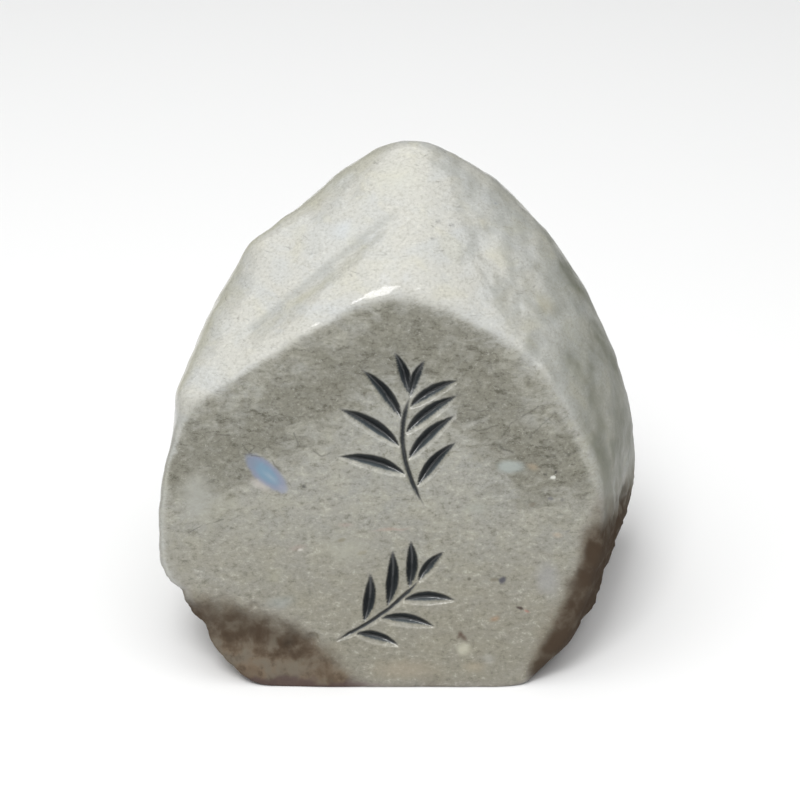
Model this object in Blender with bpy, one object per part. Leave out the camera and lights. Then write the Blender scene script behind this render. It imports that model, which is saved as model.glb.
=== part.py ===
# Engraved gobi stone: a worn desert stone with a flat sawn base, its leaning front
# carved with two leafy sprigs. Lengths are in metres, +Z is up, the front faces -Y and
# the origin is at the middle of the base.
import math

import bmesh
import bpy
import numpy as np
from mathutils import Vector, noise

# The stone is a rounded block of worn faces, each given as seen from CORE: its azimuth
# from the front towards the right, its elevation (degrees) and its distance
CORE = np.array((-0.0020, 0.0009, 0.0460))
FRONT_LEAN = 20.0
FRONT_DISTANCE = 0.0215
WORN_FACES = {
    "left roof": (-47, 56, 0.0329),
    "left crest": (-103, 49, 0.0442),
    "nose above the front": (6, 46, 0.0315),
    "ridge between the roofs": (2, 64, 0.0380),
    "right roof": (46, 54, 0.0335),
    "right crest": (86, 36, 0.0446),
    "right side": (84, 20, 0.0468),
    "right cheek": (54, 34, 0.0372),
    "right flank": (75, 4, 0.0473),
    "right foot": (70, -26, 0.0555),
    "right toe": (60, -56, 0.0652),
    "left side": (-100, 0, 0.0440),
    "left shoulder": (-102, 20, 0.0466),
    "left foot": (-80, -42, 0.0590),
    "left toe": (-60, -60, 0.0665),
    "summit": (180, 66, 0.0635),
    "right of the summit": (118, 52, 0.0514),
    "back slope": (180, 36, 0.0540),
    "back right": (128, 14, 0.0470),
    "back left": (-138, 15, 0.0440),
    "back": (180, 0, 0.0370),
    "back foot": (180, -38, 0.0460),
}
EDGE_KEENNESS = 16.0
RIM_KEENNESS = 36.0

# Hollows and lumps: two ends measured from CORE, how far they spread and how deep they
# go; a lump's depth is negative
HOLLOWS = {
    "valley in the left roof": ((-0.001, 0.006, 0.041), (-0.030, -0.007, 0.021), 0.0042, 0.0013),
    "left shoulder corner": ((-0.028, 0.015, 0.036), (-0.031, 0.012, 0.031), 0.0060, -0.0032),
    "knob on the left shoulder": ((-0.044, -0.014, 0.017), (-0.046, -0.017, 0.012), 0.0050, -0.0020),
    "notch under the left shoulder": ((-0.046, -0.020, 0.005), (-0.046, -0.021, 0.001), 0.0050, 0.0016),
    "undercut at the lower left": ((-0.044, -0.030, -0.031), (-0.022, -0.037, -0.040), 0.0050, 0.0036),
    "lump on the left toe": ((-0.035, -0.032, -0.042), (-0.035, -0.012, -0.042), 0.0080, -0.0016),
    "low lump on the right": ((0.035, -0.030, -0.039), (0.040, -0.016, -0.037), 0.0080, -0.0022),
    "hollow in the back": ((-0.016, 0.037, 0.010), (0.008, 0.037, -0.012), 0.0150, 0.0020),
    "swelling of the back": ((0.022, 0.035, -0.004), (0.026, 0.033, -0.020), 0.0120, -0.0015),
}

# Rough patches: middle measured from CORE, spread, and height of the roughness
ROUGH_PATCHES = {
    "right flank": ((0.044, -0.010, -0.030), 0.018, 0.0009),
    "lower left": ((-0.042, -0.022, -0.034), 0.016, 0.0009),
    "back": ((0, 0.042, -0.006), 0.034, 0.0007),
}
WORN_ROUGHNESS = 0.00025
GRAIN_SIZE = 0.0075

# Pits: across and up the front face, and radius; each ball that cuts one stands out a little
PIT_LIFT = 0.3
PITS = ((-0.0178, 0.0104, 0.0016), (-0.0229, 0.0085, 0.0014), (-0.0298, 0.0175, 0.0011))

# The engraving, measured across and up the front face: each sprig's stem is a curve
# through three points, with leaves at a share of its length, on its right (1) or left
# (-1), at an angle off the stem and with a length
SPRIGS = {
    "upper sprig": {
        "stem": ((0.0048, 0.0380), (-0.0022, 0.0500), (0.0022, 0.0605)),
        "leaves": (
            (0.14, 1, 66, 0.0130), (0.26, -1, 56, 0.0150), (0.38, 1, 60, 0.0140), (0.50, -1, 52, 0.0155),
            (0.62, 1, 54, 0.0140), (0.75, -1, 47, 0.0135), (0.87, 1, 46, 0.0120), (0.97, -1, 40, 0.0100),
        ),
        "tip": 0.0090,
    },
    "lower sprig": {
        "stem": ((-0.0130, 0.0100), (-0.0030, 0.0145), (0.0040, 0.0225)),
        "leaves": (
            (0.16, 1, 44, 0.0100), (0.28, -1, 52, 0.0115), (0.44, 1, 44, 0.0120), (0.56, -1, 48, 0.0130),
            (0.72, 1, 42, 0.0115), (0.84, -1, 44, 0.0110),
        ),
        "tip": 0.0090,
    },
}
STEM_WIDTH = 0.0016
STEM_END_SHARE = 0.4
STEM_FLARE = 4
LEAF_WIDTH = 0.0031
LEAF_FULL_LENGTH = 0.0120
LEAF_WIDENING = 0.4
LEAF_FULLNESS = 0.85
LEAF_BEND = 0.06
LEAF_SETBACK = STEM_WIDTH / 3
TIP_START = 0.97
NEARBY = 0.01
CUT_SLOPE = 1.1
CUT_CLEARANCE = 0.0008
STATIONS = 8
SHARP_ANGLE = 30
SAW_TOLERANCE = 1e-6

STONE_COLOUR = (0.42, 0.40, 0.34, 1)
INK_COLOUR = (0.02, 0.025, 0.028, 1)
STONE_ROUGHNESS = 0.45
INK_ROUGHNESS = 0.25
VARNISH = 0.5


def facing(azimuth, elevation):
    """The outward direction of a face."""
    a = math.radians(azimuth)
    e = math.radians(elevation)
    return np.array((math.sin(a) * math.cos(e), -math.cos(a) * math.cos(e), math.sin(e)))


def closeness(directions, azimuth, elevation, distance):
    """One over the way to a face along each direction, or 0 where it faces away."""
    return np.maximum(directions @ facing(azimuth, elevation) / distance, 0)


def distance_to_segment(points, start, end):
    start = np.array(start, dtype=float)
    along = np.array(end, dtype=float) - start
    share = np.clip((points - start) @ along / (along @ along), 0, 1)
    return np.linalg.norm(points - start - share[:, None] * along, axis=1)


def worn_block(directions):
    """Points from CORE on the rounded block, with a keen rim round the front."""
    worn = sum(closeness(directions, *face) ** EDGE_KEENNESS for face in WORN_FACES.values())
    front = closeness(directions, 0, FRONT_LEAN, FRONT_DISTANCE)
    both = worn ** (RIM_KEENNESS / EDGE_KEENNESS) + front ** RIM_KEENNESS
    return directions / both[:, None] ** (1 / RIM_KEENNESS)


def hollow_depth(points):
    """How far the hollows sink the surface at each point, less the lumps."""
    depth = np.zeros(len(points))
    for start, end, spread, deepest in HOLLOWS.values():
        depth += deepest * np.exp(-(distance_to_segment(points, start, end) / spread) ** 2)
    return depth


def knobs_and_dips(points):
    """Small knobs and dips, stronger on the rough patches."""
    height = np.full(len(points), WORN_ROUGHNESS)
    for middle, spread, rise in ROUGH_PATCHES.values():
        height += rise * np.exp(-(np.linalg.norm(points - middle, axis=1) / spread) ** 2)
    knobs = [noise.fractal(Vector(point / GRAIN_SIZE), 1.0, 2.0, 3) for point in points]
    return height * np.array(knobs)


def stone_surface(directions):
    """Points of the stone's surface along each direction from CORE."""
    points = worn_block(directions)
    points = points - directions * hollow_depth(points)[:, None]
    points = points + directions * knobs_and_dips(points)[:, None]
    return CORE + points


def front_frame():
    """The foot of the front face under CORE, and its directions across, up and out."""
    out = Vector(facing(0, FRONT_LEAN))
    core = Vector(CORE)
    foot_y = core.y + (FRONT_DISTANCE + core.z * out.z) / out.y
    across = Vector((1, 0, 0))
    return Vector((core.x, foot_y, 0)), across, out.cross(across), out


def on_front(across, up, out=0.0):
    """A point of the front face from its distances across, up and out of it."""
    foot, side, rise, away = front_frame()
    return foot + side * across + rise * up + away * out


def material(name, colour, roughness):
    finish = bpy.data.materials.new(name)
    finish.use_nodes = True
    shader = finish.node_tree.nodes["Principled BSDF"]
    shader.inputs["Base Color"].default_value = colour
    shader.inputs["Roughness"].default_value = roughness
    shader.inputs["Metallic"].default_value = 0.0
    shader.inputs["Coat Weight"].default_value = VARNISH
    return finish


def add_object(name, form, finish):
    mesh = bpy.data.meshes.new(name)
    form.to_mesh(mesh)
    form.free()
    mesh.materials.append(finish)
    item = bpy.data.objects.new(name, mesh)
    bpy.context.scene.collection.objects.link(item)
    return item


def stone_body(finish):
    """The stone without its engraving, cut flat at the base."""
    form = bmesh.new()
    bmesh.ops.create_icosphere(form, subdivisions=5, radius=1)
    directions = np.array([vertex.co.normalized() for vertex in form.verts])
    for vertex, point in zip(form.verts, stone_surface(directions)):
        vertex.co = point
    whole = form.verts[:] + form.edges[:] + form.faces[:]
    sawn = bmesh.ops.bisect_plane(form, geom=whole, dist=SAW_TOLERANCE, plane_no=(0, 0, -1), clear_outer=True)
    rim = [part for part in sawn["geom_cut"] if isinstance(part, bmesh.types.BMEdge)]
    bmesh.ops.triangle_fill(form, edges=rim, use_beauty=True)
    bmesh.ops.recalc_face_normals(form, faces=form.faces[:])
    return add_object("stone", form, finish)


def curve_point(ends, share):
    """A point on the curve that starts at the first point, bends by the second and ends at the third."""
    start, middle, end = (Vector(point) for point in ends)
    return start * (1 - share) ** 2 + middle * 2 * share * (1 - share) + end * share ** 2


def stem_cut(stem):
    """The middle line and half-widths of a stem, narrower at both ends."""
    shares = [step / STATIONS for step in range(STATIONS + 1)]
    line = [curve_point(stem, share) for share in shares]
    halves = [STEM_WIDTH / 2 * min(1, STEM_END_SHARE + STEM_FLARE * min(share, 1 - share)) for share in shares]
    return line, halves


def leaf_cut(base, heading, length, side):
    """The middle line and half-widths of a pointed leaf that starts at base."""
    along = Vector((math.cos(heading), math.sin(heading)))
    aside = Vector((-along.y, along.x)) * side
    widest = LEAF_WIDTH * (length / LEAF_FULL_LENGTH) ** LEAF_WIDENING
    line = []
    halves = []
    for step in range(STATIONS + 1):
        share = step / STATIONS
        bow = 4 * LEAF_BEND * length * share * (1 - share)
        line.append(base + along * length * share + aside * bow)
        halves.append(widest / 2 * max(math.sin(math.pi * share ** LEAF_FULLNESS), 0) ** LEAF_FULLNESS)
    return line, halves


def sprig_cuts(sprig):
    """Every cut of a sprig: its stem, its side leaves and the leaf at its tip."""
    stem = sprig["stem"]
    yield stem_cut(stem)
    for share, side, angle, length in sprig["leaves"]:
        ahead = curve_point(stem, share + NEARBY) - curve_point(stem, share - NEARBY)
        heading = math.atan2(ahead.y, ahead.x) - side * math.radians(angle)
        start = Vector((math.cos(heading), math.sin(heading))) * LEAF_SETBACK
        yield leaf_cut(curve_point(stem, share) + start, heading, length, side)
    ahead = curve_point(stem, 1) - curve_point(stem, 1 - NEARBY)
    yield leaf_cut(curve_point(stem, TIP_START), math.atan2(ahead.y, ahead.x), sprig["tip"], 1)


def groove_cutter(name, line, halves, finish):
    """A keel-shaped solid that cuts a V groove of the given half-widths."""
    form = bmesh.new()
    rings = []
    for step, (middle, half) in enumerate(zip(line, halves)):
        before = line[max(step - 1, 0)]
        after = line[min(step + 1, len(line) - 1)]
        ahead = (after - before).normalized()
        aside = Vector((-ahead.y, ahead.x)) * (half + CUT_CLEARANCE / CUT_SLOPE)
        left = on_front(*(middle + aside), CUT_CLEARANCE)
        right = on_front(*(middle - aside), CUT_CLEARANCE)
        keel = on_front(*middle, -half * CUT_SLOPE)
        rings.append([form.verts.new(corner) for corner in (left, right, keel)])
    for ring, following in zip(rings, rings[1:]):
        for corner in range(3):
            turn = (corner + 1) % 3
            form.faces.new((ring[corner], ring[turn], following[turn], following[corner]))
    form.faces.new(rings[0][::-1])
    form.faces.new(rings[-1])
    bmesh.ops.triangulate(form, faces=form.faces[:])
    bmesh.ops.recalc_face_normals(form, faces=form.faces[:])
    return add_object(name, form, finish)


def pit_cutter(name, across, up, radius, finish):
    """A small ball, sunk by more than half, that leaves a pit in the front."""
    form = bmesh.new()
    bmesh.ops.create_icosphere(form, subdivisions=2, radius=radius)
    bmesh.ops.translate(form, verts=form.verts[:], vec=on_front(across, up, radius * PIT_LIFT))
    return add_object(name, form, finish)


def carve(stone, cutters):
    """Cuts the pits and grooves out of the stone and keeps their rims sharp."""
    tools = bpy.data.collections.new("cutters")
    bpy.context.scene.collection.children.link(tools)
    for cutter in cutters:
        bpy.context.scene.collection.objects.unlink(cutter)
        tools.objects.link(cutter)
        cutter.hide_render = True
        cutter.display_type = "WIRE"
    cut = stone.modifiers.new("engraving", "BOOLEAN")
    cut.operation = "DIFFERENCE"
    cut.solver = "EXACT"
    cut.operand_type = "COLLECTION"
    cut.collection = tools
    cut.material_mode = "TRANSFER"
    with bpy.context.temp_override(object=stone):
        bpy.ops.object.modifier_apply(modifier=cut.name)
    stone.data.shade_smooth()
    stone.data.set_sharp_from_angle(angle=math.radians(SHARP_ANGLE))


def main():
    for item in list(bpy.data.objects):
        bpy.data.objects.remove(item)
    stone_finish = material("stone", STONE_COLOUR, STONE_ROUGHNESS)
    ink = material("ink", INK_COLOUR, INK_ROUGHNESS)
    stone = stone_body(stone_finish)
    cutters = []
    for name, sprig in SPRIGS.items():
        for count, (line, halves) in enumerate(sprig_cuts(sprig)):
            cutters.append(groove_cutter(f"{name} cut {count}", line, halves, ink))
    for count, (across, up, radius) in enumerate(PITS):
        cutters.append(pit_cutter(f"pit {count}", across, up, radius, stone_finish))
    carve(stone, cutters)


main()
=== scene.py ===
# The engraved gobi stone's looks: a varnished pale grey-buff desert stone whose leaning
# front is carved with two inked leafy sprigs, on a plain pale floor in soft studio light.
# Lengths are in metres, +Z is up and the front faces -Y.
import math

import bmesh
import bpy
import numpy as np
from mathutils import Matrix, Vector, noise


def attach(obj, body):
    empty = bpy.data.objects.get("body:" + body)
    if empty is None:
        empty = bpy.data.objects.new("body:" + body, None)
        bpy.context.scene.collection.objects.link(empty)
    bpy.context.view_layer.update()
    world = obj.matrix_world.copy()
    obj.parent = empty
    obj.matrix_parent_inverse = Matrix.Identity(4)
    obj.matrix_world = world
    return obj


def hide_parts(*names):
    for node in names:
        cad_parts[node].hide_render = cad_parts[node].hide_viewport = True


# The camera stands straight in front of the stone and looks down on it
CAMERA_TARGET = Vector((-0.0020, -0.0011, 0.0470))
CAMERA_ELEVATION = 28.0
CAMERA_DISTANCE = 0.42
CAMERA_LENS = 89.6

# The stone is a rounded block of worn faces, each given as seen from CORE: its azimuth
# from the front towards the right, its elevation (degrees) and its distance
CORE = np.array((-0.0020, 0.0009, 0.0460))
FRONT_LEAN = 20.0
FRONT_DISTANCE = 0.0215
WORN_FACES = {
    "left roof": (-47, 56, 0.0329),
    "left crest": (-103, 49, 0.0442),
    "nose above the front": (6, 46, 0.0315),
    "ridge between the roofs": (2, 64, 0.0380),
    "right roof": (46, 54, 0.0335),
    "right crest": (86, 36, 0.0446),
    "right side": (84, 20, 0.0468),
    "right cheek": (54, 34, 0.0372),
    "right flank": (75, 4, 0.0473),
    "right foot": (70, -26, 0.0555),
    "right toe": (60, -56, 0.0652),
    "left side": (-100, 0, 0.0440),
    "left shoulder": (-102, 20, 0.0466),
    "left foot": (-80, -42, 0.0590),
    "left toe": (-60, -60, 0.0665),
    "summit": (180, 66, 0.0635),
    "right of the summit": (118, 52, 0.0514),
    "back slope": (180, 36, 0.0540),
    "back right": (128, 14, 0.0470),
    "back left": (-138, 15, 0.0440),
    "back": (180, 0, 0.0370),
    "back foot": (180, -38, 0.0460),
}
EDGE_KEENNESS = 16.0
RIM_KEENNESS = 36.0
BASE_KEENNESS = 110.0

# Hollows and lumps: two ends measured from CORE, how far they spread and how deep they
# go; a lump's depth is negative
HOLLOWS = {
    "valley in the left roof": ((-0.001, 0.006, 0.041), (-0.030, -0.007, 0.021), 0.0042, 0.0013),
    "left shoulder corner": ((-0.028, 0.015, 0.036), (-0.031, 0.012, 0.031), 0.0060, -0.0032),
    "knob on the left shoulder": ((-0.044, -0.014, 0.017), (-0.046, -0.017, 0.012), 0.0050, -0.0020),
    "notch under the left shoulder": ((-0.046, -0.020, 0.005), (-0.046, -0.021, 0.001), 0.0050, 0.0016),
    "undercut at the lower left": ((-0.044, -0.030, -0.031), (-0.022, -0.037, -0.040), 0.0050, 0.0036),
    "lump on the left toe": ((-0.035, -0.032, -0.042), (-0.035, -0.012, -0.042), 0.0080, -0.0016),
    "low lump on the right": ((0.035, -0.030, -0.039), (0.040, -0.016, -0.037), 0.0080, -0.0022),
    "hollow in the back": ((-0.016, 0.037, 0.010), (0.008, 0.037, -0.012), 0.0150, 0.0020),
    "swelling of the back": ((0.022, 0.035, -0.004), (0.026, 0.033, -0.020), 0.0120, -0.0015),
}

# Rough patches: middle measured from CORE, spread, and height of the roughness
ROUGH_PATCHES = {
    "right flank": ((0.044, -0.010, -0.030), 0.018, 0.0009),
    "lower left": ((-0.042, -0.022, -0.034), 0.016, 0.0009),
    "back": ((0, 0.042, -0.006), 0.034, 0.0007),
}
WORN_ROUGHNESS = 0.00025
GRAIN_SIZE = 0.0075

# The engraving, measured across and up the front face: each sprig's stem is a curve
# through three points, with leaves at a share of its length, on its right (1) or left
# (-1), at an angle off the stem and with a length
SPRIGS = {
    "upper sprig": {
        "stem": ((0.0048, 0.0380), (-0.0022, 0.0500), (0.0022, 0.0605)),
        "leaves": (
            (0.14, 1, 66, 0.0130), (0.26, -1, 56, 0.0150), (0.38, 1, 60, 0.0140), (0.50, -1, 52, 0.0155),
            (0.62, 1, 54, 0.0140), (0.75, -1, 47, 0.0135), (0.87, 1, 46, 0.0120), (0.97, -1, 40, 0.0100),
        ),
        "tip": 0.0090,
    },
    "lower sprig": {
        "stem": ((-0.0130, 0.0100), (-0.0030, 0.0145), (0.0040, 0.0225)),
        "leaves": (
            (0.16, 1, 44, 0.0100), (0.28, -1, 52, 0.0115), (0.44, 1, 44, 0.0120), (0.56, -1, 48, 0.0130),
            (0.72, 1, 42, 0.0115), (0.84, -1, 44, 0.0110),
        ),
        "tip": 0.0090,
    },
}
STEM_WIDTH = 0.0016
STEM_END_SHARE = 0.4
STEM_FLARE = 4
LEAF_WIDTH = 0.0031
LEAF_FULL_LENGTH = 0.0120
LEAF_WIDENING = 0.4
LEAF_FULLNESS = 0.85
LEAF_BEND = 0.06
LEAF_SETBACK = STEM_WIDTH / 3
TIP_START = 0.97
NEARBY = 0.01
CUT_SLOPE = 1.1
STATIONS = 20
RIM_WEAR = 0.00014
KEEL_WEAR = 0.00018

# Pits: across and up the front face, radius and depth
PITS = {
    "upper left pit": (-0.0298, 0.0175, 0.0008, 0.0006),
    "lower left pit": (-0.0178, 0.0104, 0.0012, 0.0009),
    "lowest left pit": (-0.0229, 0.0085, 0.0010, 0.0007),
}

# How long the mesh's edges may be, finer where the shape is finer
EDGE_LIMITS = {
    "rim": 0.00026,
    "cut": 0.00042,
    "crack": 0.00025,
    "mark": 0.00036,
    "front": 0.00080,
    "roof": 0.00110,
    "rest": 0.00180,
    "base": 0.0050,
}
COARSE_SPHERE = 6
REFINING_ROUNDS = 5

# How far a cut can reach from its middle, and how far the finer edges go: outside a cut's
# edge, to both sides of it, and behind the stone's middle as the camera sees it
CUT_REACH = 0.014
CUT_MARGIN = 0.0004
RIM_BAND = 0.00025
SEEN_FROM = -0.004

# The front's share from which a point is near the front, can be carved, or is on the
# front, and the base's share from which it is near the base or on it
NEAR_FRONT = 0.3
CARVED_FROM = 0.8
ON_FRONT = 0.9
NEAR_BASE = 0.5
ON_BASE = 0.9

# Small relief: the size of its knobs, their height, how many octaves they have, and where
# they are taken from the noise
RELIEF = {
    "waves": (0.0034, 0.00004, 2, 0.0),
    "crumbs": (0.0010, 0.00006, 3, 7.0),
    "fracture": (0.0030, 0.00100, 3, 19.0),
}

# How the burr wandered, and how uneven the marks' edges are: the length and reach of the
# bends, and where they are taken from the noise
BURR_WANDER = (0.0016, 0.00007, (3.0, 11.0))
MARK_WAVER = (0.0016, 0.00022, (23.0, 31.0))

# The front's rim, across and up the face, and the crumbled stone under it: where it
# starts to end and has ended, and how much of it is worn away close under the rim
RIM = (
    (-0.0411, 0.0563), (-0.0204, 0.0699), (-0.0040, 0.0811),
    (0.0086, 0.0799), (0.0220, 0.0721), (0.0306, 0.0563),
)
CRUMBLED_BAND = (0.0080, 0.0260)
POLISH = 0.50

# The front's shares between which its marks appear, those between which its grey appears
# at the keen rim and at the soft one, and where across the face the rim turns soft
SHOWN_FRONT = (0.5, 0.9)
KEEN_BORDER = (0.50, 0.95)
SOFT_BORDER = (0.02, 0.60)
SOFT_RIM = (0.0120, 0.0300)

# Where the brown skin starts: its upper edge on the lower left and its left edge on the
# right flank, across and up the face, and how far it fades in across each
BROWN_CORNER = (
    (-0.0480, 0.0200), (-0.0388, 0.0176), (-0.0300, 0.0160),
    (-0.0203, 0.0122), (-0.0140, 0.0066), (-0.0060, -0.0010),
)
CORNER_FADE = (-0.0060, 0.0056)
BROWN_FLANK = (
    (0.0279, 0.0049), (0.0327, 0.0139), (0.0365, 0.0235),
    (0.0384, 0.0277), (0.0394, 0.0345), (0.0401, 0.0413),
)
FLANK_FADE = (-0.0044, 0.0010)

# Where the flank's brown has ended upwards and towards the left, and is full again
FLANK_TOP = (0.0460, 0.0280)
FLANK_INNER_END = (0, 0.005)

# Painted shade over the corner's brown, in a band under its upper edge: the band's width, and where across
# the face it has faded and is full; and how dark the flank is, partly its crust's own dark brown and partly
# painted shade
SKIN_SHADE_BAND = 0.0130
SKIN_SHADE_FADE = (-0.0080, -0.0260)
FLANK_SHADE = 0.92

# Painted shade along the crease in the valley of the left roof
VALLEY_SHADE_WIDTH = 0.0014

# Directions that the sides painted with shade, the yellowish left crest and the more matt right flank face
RIGHT_SHADE_FACING = (1.0, 0, 0.25)
RIGHT_FLANK = (1.0, 0, 0)
LEFT_SHADE_FACING = (-1.0, -0.3, 0)
LEFT_CREST = (-0.75, 0.25, 0.65)

# Patterns in the stone: how large their patches are, how much they are pressed flat, how
# many octaves they have, how far they are drawn out of shape and how rough they are
PATTERNS = {
    "bedding": (0.012, 2.4, 4, 0.6, 0.5),
    "blotches": (0.0065, 1, 3, 0.5, 0.5),
    "grains": (0.0007, 1.5, 3, 0.2, 0.65),
    "dashes": (0.0046, 7, 3, 1.2, 0.6),
    "dashed areas": (0.010, 1, 2, 0, 0.5),
    "front clouds": (0.0050, 1.3, 4, 0.6, 0.6),
    "flecks": (0.0015, 1.6, 5, 0.2, 0.8),
    "crumbled areas": (0.0042, 1.8, 5, 0.6, 0.62),
    "crumbs": (0.0008, 1.3, 5, 0.2, 0.8),
    "ledges": (0.0026, 2.0, 5, 0.2, 0.72),
    "side clouds": (0.011, 1, 4, 0.2, 0.5),
    "brown areas": (0.0046, 1, 4, 0.3, 0.55),
    "brown specks": (0.0022, 1, 4, 0.1, 0.6),
    "brown edges": (0.0050, 1, 2, 0, 0.5),
    "fine grain": (0.0006, 1, 3, 0.3, 0.7),
    "varnish waves": (0.0024, 1, 1, 0, 0.5),
}

# The values that most of a pattern lies between
MIDDLE_OF_NOISE = (0.3, 0.7)

# The values of a pattern or a mask at which each of these starts to show and shows fully,
# and how much of it shows at both, if that isn't none and all
FADES = {
    "buff layers": (0.36, 0.64),
    "yellow blotches": (0.52, 0.70, 0, 0.22),
    "blue veil": (0.42, 0.28, 0, 0.22),
    # Painted shade on the right side
    "right side": (0.52, 0.86, 0, 0.44),
    "middle of the right side": (0.80, 1.02, 0, 0.54),
    "top of the right side": (0.052, 0.036, 1, 0.75),
    "left crest": (0.80, 0.96, 0, 0.7),
    # Painted shade on the left side
    "left side": (0.45, 0.85, 0, 0.65),
    "top of the left side": (0.062, 0.048),
    # Painted shade in the crease
    "valley_shade": (0.1, 1.0, 0, 0.45),
    "dark grains": (0.50, 0.34, 0, 0.34),
    "pale grains": (0.54, 0.70, 0, 0.40),
    "dashes": (0.38, 0.29),
    "dashed areas": (0.42, 0.60, 0.05, 0.50),
    "front clouds": (0.42, 0.66, 0, 0.45),
    "buff foot": (0.050, 0.006, 0, 0.60),
    "dark flecks": (0.50, 0.31, 0, 0.78),
    "pale flecks": (0.52, 0.72, 0, 0.66),
    "crumbled band": (0.1, 1.1),
    "dark crumbs": (0.52, 0.30, 0, 0.60),
    "dark ledges": (0.48, 0.34, 0, 0.75),
    "pale crumbs": (0.56, 0.68, 0, 0.40),
    "orange areas": (0.38, 0.62),
    "dark specks": (0.54, 0.28, 0, 0.55),
    "pale specks": (0.54, 0.74, 0, 0.4),
    # Painted shade over the brown skin
    "skin shade": (0.1, 0.9, 0.1, 0.95),
    "chipped foot": (0.0026, 0.0010, 0, 0.8),
    "varnish on the right flank": (0.62, 0.94, 1, 0.28),
}

# How far the patterns move the borders of these, and how much of the front's and of the
# crumbled stone's own colour shows
# The first moves the border of the painted shade on the sides
SHADE_BORDER_WAVER = 0.08
CRUMBLED_WAVER = 0.35
# This one moves the border of the painted shade over the brown skin
SKIN_SHADE_WAVER = 0.35
FOOT_WAVER = 0.0010
BROWN_WAVER = 0.10
FRONT_SHARE = 0.58
CRUMB_SHARE = 0.80

# How rough the varnished stone and the brown skin are, how much they shine and how thick
# the varnish on them is; how smooth the varnish is, and how high and how strong the fine
# grain and the varnish's waves are
ROUGHNESS = (0.5, 0.9)
SHINE = (0.5, 0.1)
VARNISH = (0.8, 0.05)
VARNISH_ROUGHNESS = 0.12
FINE_GRAIN = (0.00010, 0.6)
VARNISH_WAVES = (0.00003, 0.5)

# The sockets of the mixing node that take and give colours
FIRST_COLOUR = 6
SECOND_COLOUR = 7
MIXED_COLOUR = 2


def tint(red, green, blue):
    """A colour given as screen values from 0 to 255, in the linear values that a shader takes."""
    return tuple((value / 255) ** 2.2 for value in (red, green, blue)) + (1,)


# Colours as they would be painted
GREY_LAYER = tint(178, 179, 175)
BUFF_LAYER = tint(181, 180, 172)
YELLOW_BLOTCH = tint(184, 180, 154)
BLUE_VEIL = tint(186, 190, 194)
DARK_GRAIN = tint(128, 125, 112)
PALE_GRAIN = tint(204, 204, 196)
GRAIN_LIGHTENING = (1.34, 1.34, 1.30, 1)
CRUMB_SHADE = tint(78, 75, 63)
CRUMB_BODY = tint(119, 117, 104)
STREAK = tint(112, 111, 104)
# Painted shade on the right side, green-grey
PAINTED_SIDE_SHADE = tint(93, 95, 78)
# Painted shade in the crease of the left roof's valley
VALLEY_SHADE_GREY = tint(128, 130, 125)
# The front's grey, also laid as painted shade on the left side
FRONT_AND_SHADE_GREY = tint(134, 133, 124)
FRONT_CLOUD = tint(166, 164, 149)
LOW_BUFF = tint(128, 122, 104)
MOTTLE_SHADE = tint(104, 102, 88)
MOTTLE_LIGHT = tint(196, 194, 180)
CREST_YELLOW = tint(172, 170, 150)
# Dark brown of the specks and the skin, laid also as painted shade under the corner's upper edge and on the
# flank
BROWN_SPECK_AND_SHADE = tint(70, 59, 49)
BROWN_LIGHT = tint(116, 108, 96)
BROWN_ORANGE = tint(122, 108, 92)
CHIPPED_EDGE = tint(84, 70, 68)
BLACK = tint(0, 0, 0)
INK = tint(24, 28, 30)
# Ink worn thin on the lower walls, its paler grey partly a painted sheen of the light from above
INK_WORN_AND_SHEEN = tint(106, 117, 122)

# Where the ink starts inside a cut's edge on the upper and the lower wall, how far it fades in, and between
# which places across a cut its start changes and it turns pale, worn thin and with a painted sheen of the
# light from above on the lower wall
INK_EDGE = (0.00004, 0.00070)
INK_FADE = 0.00036
INK_TURN = (-0.2, 0.7)
LOWER_WALL = (-0.1, 0.9)

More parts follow.
